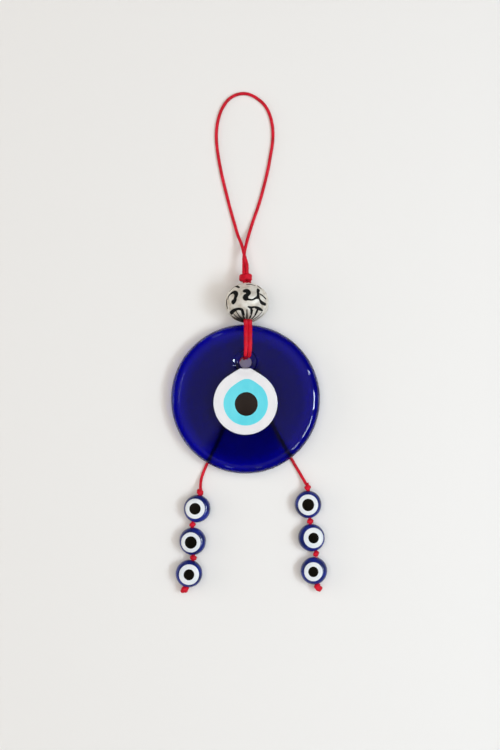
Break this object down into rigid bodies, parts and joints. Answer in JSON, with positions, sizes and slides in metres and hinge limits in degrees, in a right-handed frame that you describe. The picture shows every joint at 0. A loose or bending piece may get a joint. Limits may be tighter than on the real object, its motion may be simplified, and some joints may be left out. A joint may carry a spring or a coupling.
{
  "type": "evil eye ornament",
  "caption": "Hanging ornament: a round blue glass eye on a red cord under a silver filigree bead, with a hanging loop and two tassels of small eye beads.",
  "frame": {"origin": "centre of the glass disc's flat back face", "axes": "the ornament lies on a table: +X to its right seen from the front, +Y up through the hole to the hanging loop, +Z out of the disc's front"},
  "size_m": [0.0578, 0.1852, 0.0162],
  "materials": {
    "cobalt_glass": "polished",
    "white_glass": "gloss",
    "turquoise_glass": "gloss",
    "dark_glass": "gloss",
    "red_cord": "waxed",
    "antique_silver": "antique silver",
    "blue_resin": "gloss",
    "white_resin": "gloss",
    "black_resin": "gloss"
  },
  "bodies": {
    "disc": {"glass_disc": "cobalt_glass", "white_drop": "white_glass", "turquoise_drop": "turquoise_glass", "pupil": "dark_glass", "back_knot": "red_cord", "hole_cords": "red_cord"},
    "hanger": {"left_front_strand": "red_cord", "right_front_strand": "red_cord", "top_knot": "red_cord"},
    "filigree": {"filigree_bead": "antique_silver"},
    "loop": {"hanging_loop": "red_cord"},
    "left_back": {"left_back_cord": "red_cord"},
    "left_tassel_top": {"left_drop_cord": "red_cord", "left_knot_1": "red_cord", "left_bead_cord_1": "red_cord", "left_knot_2": "red_cord"},
    "left_tassel_middle": {"left_bead_cord_2": "red_cord", "left_knot_3": "red_cord"},
    "left_tassel_end": {"left_bead_cord_3": "red_cord", "left_end_knot": "red_cord"},
    "left_bead_1": {"left_bead_1": "blue_resin", "left_bead_1_whites": "white_resin", "left_bead_1_blacks": "black_resin"},
    "left_bead_2": {"left_bead_2": "blue_resin", "left_bead_2_whites": "white_resin", "left_bead_2_blacks": "black_resin"},
    "left_bead_3": {"left_bead_3": "blue_resin", "left_bead_3_whites": "white_resin", "left_bead_3_blacks": "black_resin"},
    "right_back": {"right_back_cord": "red_cord"},
    "right_tassel_top": {"right_drop_cord": "red_cord", "right_knot_1": "red_cord", "right_bead_cord_1": "red_cord", "right_knot_2": "red_cord"},
    "right_tassel_middle": {"right_bead_cord_2": "red_cord", "right_knot_3": "red_cord"},
    "right_tassel_end": {"right_bead_cord_3": "red_cord", "right_end_knot": "red_cord"},
    "right_bead_1": {"right_bead_1": "blue_resin", "right_bead_1_whites": "white_resin", "right_bead_1_blacks": "black_resin"},
    "right_bead_2": {"right_bead_2": "blue_resin", "right_bead_2_whites": "white_resin", "right_bead_2_blacks": "black_resin"},
    "right_bead_3": {"right_bead_3": "blue_resin", "right_bead_3_whites": "white_resin", "right_bead_3_blacks": "black_resin"}
  },
  "joints": [
    {"name": "hanger_swing", "type": "hinge", "parent": "disc", "child": "hanger", "pos_m": [0.0006, 0.0154, 0.0056], "axis": [1, 0, 0], "range_deg": [0, 100]},
    {"name": "filigree_spin", "type": "hinge", "parent": "hanger", "child": "filigree", "pos_m": [0.00055, 0.0359, 0.0069], "axis": [0, 0.9659, -0.2588], "continuous": true},
    {"name": "loop_fold", "type": "hinge", "parent": "hanger", "child": "loop", "pos_m": [0.0003, 0.04465, 0.0046], "axis": [1, 0, 0], "range_deg": [0, 90]},
    {"name": "left_back_swing", "type": "hinge", "parent": "disc", "child": "left_back", "pos_m": [0.0003, 0.0166, -0.0006], "axis": [0, 0, 1], "range_deg": [-20, 8]},
    {"name": "left_rim_bend", "type": "hinge", "parent": "left_back", "child": "left_tassel_top", "pos_m": [-0.014, -0.02355, -0.0006], "axis": [0, 0, 1], "range_deg": [-25, 25]},
    {"name": "left_upper_bend", "type": "hinge", "parent": "left_tassel_top", "child": "left_tassel_middle", "pos_m": [-0.0196, -0.0465, 0.00155], "axis": [0, 0, 1], "range_deg": [-30, 30]},
    {"name": "left_lower_bend", "type": "hinge", "parent": "left_tassel_middle", "child": "left_tassel_end", "pos_m": [-0.0193, -0.0587, 0.00155], "axis": [0, 0, 1], "range_deg": [-30, 30]},
    {"name": "left_bead_1_spin", "type": "hinge", "parent": "left_tassel_top", "child": "left_bead_1", "pos_m": [-0.0182, -0.0405, 0.00155], "axis": [0.2272, 0.9738, 0], "continuous": true},
    {"name": "left_bead_2_spin", "type": "hinge", "parent": "left_tassel_middle", "child": "left_bead_2", "pos_m": [-0.01945, -0.0526, 0.00155], "axis": [-0.0246, 0.9997, 0], "continuous": true},
    {"name": "left_bead_3_spin", "type": "hinge", "parent": "left_tassel_end", "child": "left_bead_3", "pos_m": [-0.0209, -0.0646, 0.00155], "axis": [0.2617, 0.9651, 0], "continuous": true},
    {"name": "right_back_swing", "type": "hinge", "parent": "disc", "child": "right_back", "pos_m": [0.0003, 0.0166, -0.0006], "axis": [0, 0, 1], "range_deg": [-8, 20]},
    {"name": "right_rim_bend", "type": "hinge", "parent": "right_back", "child": "right_tassel_top", "pos_m": [0.0168, -0.02175, -0.0006], "axis": [0, 0, 1], "range_deg": [-25, 25]},
    {"name": "right_upper_bend", "type": "hinge", "parent": "right_tassel_top", "child": "right_tassel_middle", "pos_m": [0.0239, -0.0452, 0.00155], "axis": [0, 0, 1], "range_deg": [-30, 30]},
    {"name": "right_lower_bend", "type": "hinge", "parent": "right_tassel_middle", "child": "right_tassel_end", "pos_m": [0.0261, -0.0572, 0.00155], "axis": [0, 0, 1], "range_deg": [-30, 30]},
    {"name": "right_bead_1_spin", "type": "hinge", "parent": "right_tassel_top", "child": "right_bead_1", "pos_m": [0.02345, -0.03895, 0.00155], "axis": [-0.0718, 0.9974, 0], "continuous": true},
    {"name": "right_bead_2_spin", "type": "hinge", "parent": "right_tassel_middle", "child": "right_bead_2", "pos_m": [0.025, -0.0512, 0.00155], "axis": [-0.1803, 0.9836, 0], "continuous": true},
    {"name": "right_bead_3_spin", "type": "hinge", "parent": "right_tassel_end", "child": "right_bead_3", "pos_m": [0.0265, -0.06345, 0.00155], "axis": [-0.0639, 0.998, 0], "continuous": true}
  ]
}
